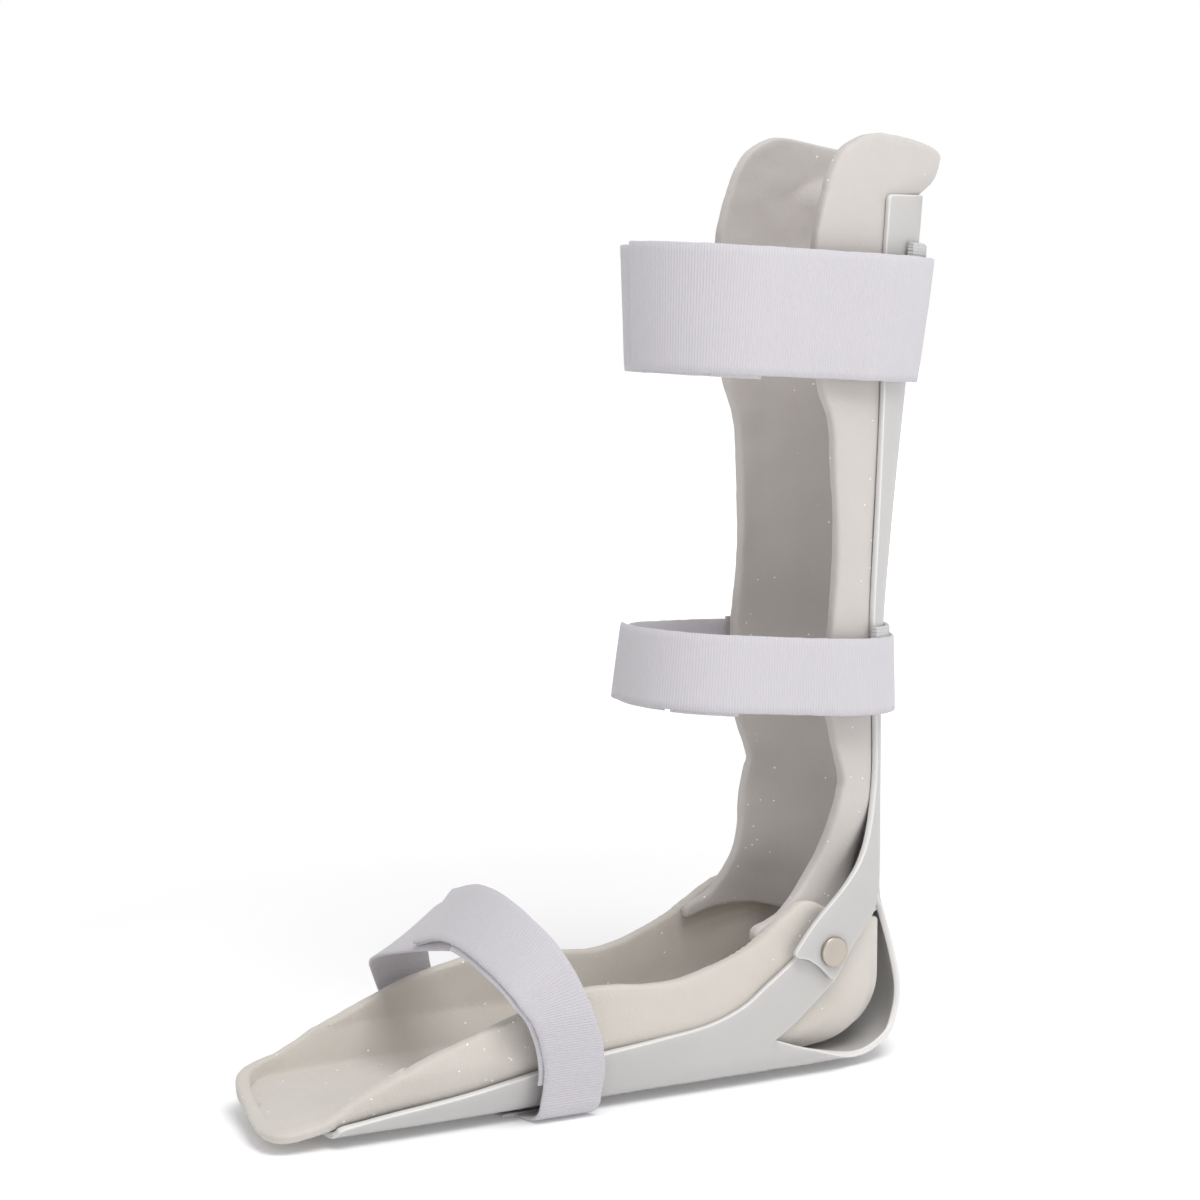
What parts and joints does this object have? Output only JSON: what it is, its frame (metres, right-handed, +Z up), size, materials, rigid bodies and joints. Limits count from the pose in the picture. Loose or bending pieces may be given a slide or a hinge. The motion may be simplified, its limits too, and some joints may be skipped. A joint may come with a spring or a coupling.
{
  "type": "ankle foot orthosis",
  "caption": "Leaf-style ankle foot orthosis: a folded plastic sheet with riveted ankle wings and heel band, foam lining, and hook and loop straps at calf, shin and instep.",
  "frame": {"origin": "on the underside of the plastic sole, straight below the ankle axis through the two rivets, midway between them", "axes": "-Y towards the toes, +X towards the big toe side (medial), +Z up along the leg"},
  "size_m": [0.1071, 0.3009, 0.3696],
  "materials": {
    "plastic": "satin white sheet",
    "foam": "closed-cell foam, matt, fine sparkling cells",
    "webbing": "matt white woven loop webbing with fine cross ribs",
    "hook": "matt hook mesh",
    "nickel": "brushed nickel"
  },
  "bodies": {
    "foot": {"foot_shell": "plastic", "heel_band": "plastic", "foot_liner": "foam", "foot_strap_hook_patch": "hook", "foot_strap_sole": "webbing"},
    "calf": {"calf_shell": "plastic", "calf_liner": "foam", "medial_rivet_cap": "nickel", "medial_rivet_post": "nickel", "lateral_rivet_cap": "nickel", "lateral_rivet_post": "nickel", "upper_strap_hook_patch": "hook", "upper_strap_back": "webbing", "lower_strap_hook_patch": "hook", "lower_strap_back": "webbing"},
    "upper_strap_medial_arm": {"upper_strap_medial": "webbing", "upper_strap_medial_lining": "webbing", "upper_strap_hook_tab": "hook"},
    "upper_strap_lateral_arm": {"upper_strap_lateral": "webbing"},
    "lower_strap_medial_arm": {"lower_strap_medial": "webbing", "lower_strap_medial_lining": "webbing", "lower_strap_hook_tab": "hook"},
    "lower_strap_lateral_arm": {"lower_strap_lateral": "webbing"},
    "foot_strap_medial_arm": {"foot_strap_medial": "webbing", "foot_strap_medial_lining": "webbing", "foot_strap_hook_tab": "hook"},
    "foot_strap_lateral_arm": {"foot_strap_lateral": "webbing"}
  },
  "joints": [
    {"name": "ankle_flex", "type": "hinge", "parent": "foot", "child": "calf", "pos_m": [0, 0, 0.047], "axis": [1, 0, 0], "range_deg": [-6, 10]},
    {"name": "upper_strap_open", "type": "hinge", "parent": "calf", "child": "upper_strap_medial_arm", "pos_m": [0.0447, 0.01403, 0.295], "axis": [0, 0.0576, 0.9983], "range_deg": [0, 110]},
    {"name": "upper_strap_lateral_open", "type": "hinge", "parent": "calf", "child": "upper_strap_lateral_arm", "pos_m": [-0.0447, 0.01403, 0.295], "axis": [0, 0.0576, 0.9983], "range_deg": [-33, 0]},
    {"name": "lower_strap_open", "type": "hinge", "parent": "calf", "child": "lower_strap_medial_arm", "pos_m": [0.0447, 0.00109, 0.156], "axis": [0, 0.0698, 0.9976], "range_deg": [0, 110]},
    {"name": "lower_strap_lateral_open", "type": "hinge", "parent": "calf", "child": "lower_strap_lateral_arm", "pos_m": [-0.0447, 0.00109, 0.156], "axis": [0, 0.0698, 0.9976], "range_deg": [-33, 0]},
    {"name": "foot_strap_open", "type": "hinge", "parent": "foot", "child": "foot_strap_medial_arm", "pos_m": [0.0437, -0.12, 0.00575], "axis": [0, 1, 0], "range_deg": [0, 65]},
    {"name": "foot_strap_lateral_open", "type": "hinge", "parent": "foot", "child": "foot_strap_lateral_arm", "pos_m": [-0.0519, -0.134, 0.00575], "axis": [0, 1, 0], "range_deg": [-20, 0]}
  ],
  "couplings": [
    {"joint": "upper_strap_lateral_open", "follows": "upper_strap_open", "ratio": -0.3},
    {"joint": "lower_strap_lateral_open", "follows": "lower_strap_open", "ratio": -0.3},
    {"joint": "foot_strap_lateral_open", "follows": "foot_strap_open", "ratio": -0.3}
  ]
}
